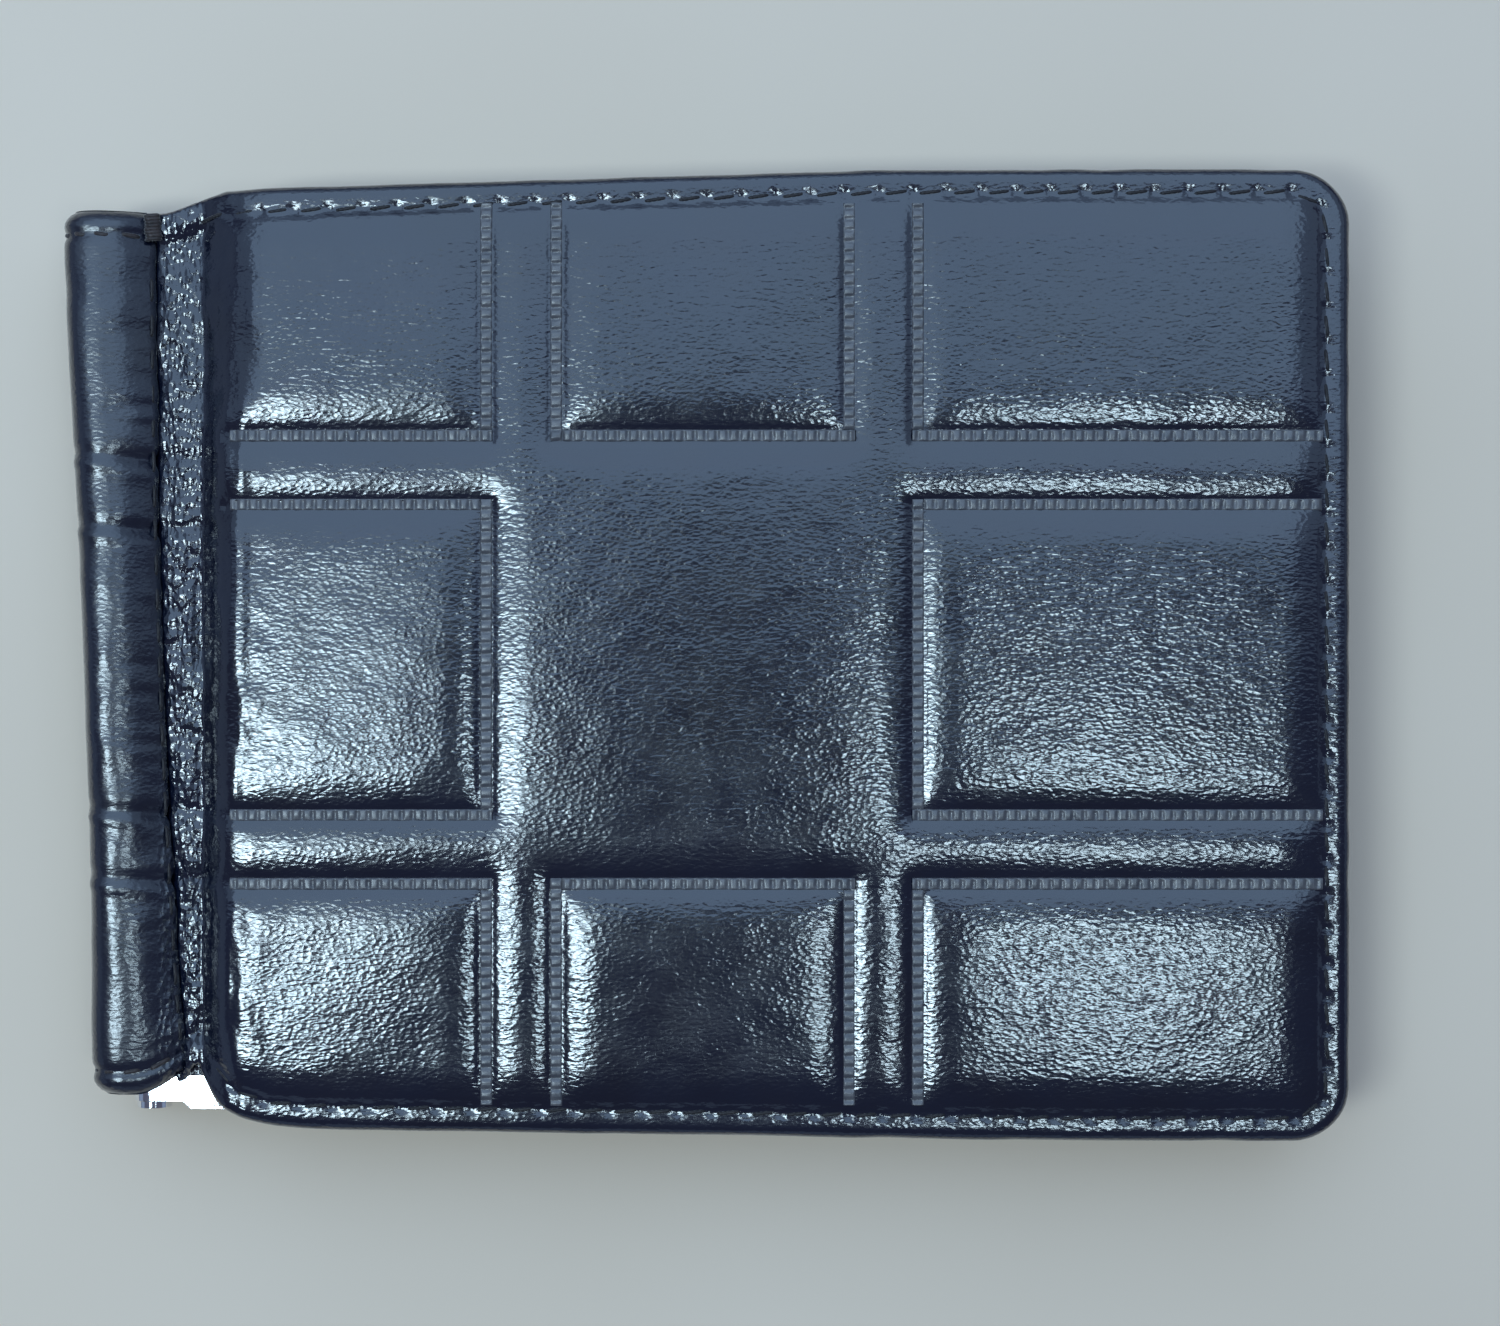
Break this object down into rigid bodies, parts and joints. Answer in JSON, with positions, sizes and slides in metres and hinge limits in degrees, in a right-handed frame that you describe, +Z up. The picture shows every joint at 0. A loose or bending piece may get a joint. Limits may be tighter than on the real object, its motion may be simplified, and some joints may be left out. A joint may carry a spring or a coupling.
{
  "type": "money clip wallet",
  "caption": "Padded leather bifold wallet with a quilted grid on its covers, a rolled spine and a sprung metal money clip inside.",
  "frame": {"origin": "bottom centre of the closed wallet's bounding box, on the surface it lies on", "axes": "+X from the rolled spine to the free edge, +Y along the spine, +Z up through the front cover"},
  "size_m": [0.115, 0.087, 0.015],
  "materials": {
    "outer_leather": "glossy grained",
    "inner_leather": "smooth satin",
    "lining": "woven",
    "foam": "open cell foam",
    "board": "grey fibreboard",
    "thread": "twisted thread",
    "clip_metal": "polished",
    "plated_steel": "nickel plated",
    "spring_wire": "drawn wire"
  },
  "bodies": {
    "back_cover": {"back_outer_leather": "outer_leather", "back_foam_pad": "foam", "back_board": "board", "back_lining": "lining", "back_slip_pocket": "inner_leather", "note_panel": "inner_leather", "back_perimeter_thread": "thread", "back_hinge_leather": "outer_leather", "back_hinge_lining": "inner_leather"},
    "spine": {"spine_outer_leather": "outer_leather", "spine_inner_leather": "inner_leather", "spine_stiffener": "board", "clip_base_channel": "plated_steel", "clip_rivets": "plated_steel", "clip_pivot_rod": "clip_metal", "upper_torsion_spring": "spring_wire", "lower_torsion_spring": "spring_wire", "back_seam_thread": "thread", "front_seam_thread": "thread", "back_bar_tack": "thread", "front_bar_tack": "thread"},
    "front_cover": {"front_outer_leather": "outer_leather", "front_foam_pad": "foam", "front_board": "board", "front_lining": "lining", "card_slot_1": "inner_leather", "card_slot_2": "inner_leather", "card_slot_3": "inner_leather", "front_perimeter_thread": "thread", "front_hinge_leather": "outer_leather", "front_hinge_lining": "inner_leather"},
    "clip": {"clip_frame": "clip_metal"}
  },
  "joints": [
    {"name": "spine_fold", "type": "hinge", "parent": "back_cover", "child": "spine", "pos_m": [-0.0524, 0, 0.0051], "axis": [0, -1, 0], "range_deg": [0, 90], "deforming": ["back_hinge_leather", "back_hinge_lining"]},
    {"name": "front_fold", "type": "hinge", "parent": "spine", "child": "front_cover", "pos_m": [-0.0524, 0, 0.0099], "axis": [0, -1, 0], "range_deg": [0, 90], "deforming": ["front_hinge_leather", "front_hinge_lining"]},
    {"name": "clip_lift", "type": "hinge", "parent": "back_cover", "child": "clip", "pos_m": [-0.0524, 0, 0.0051], "axis": [0, -1, 0], "range_deg": [0, 70], "stiffness_Nm_per_rad": 0.08, "springref_deg": -34.38, "deforming": ["upper_torsion_spring", "lower_torsion_spring"]}
  ],
  "couplings": [
    {"joint": "clip_lift", "follows": "spine_fold", "ratio": 0.777}
  ]
}
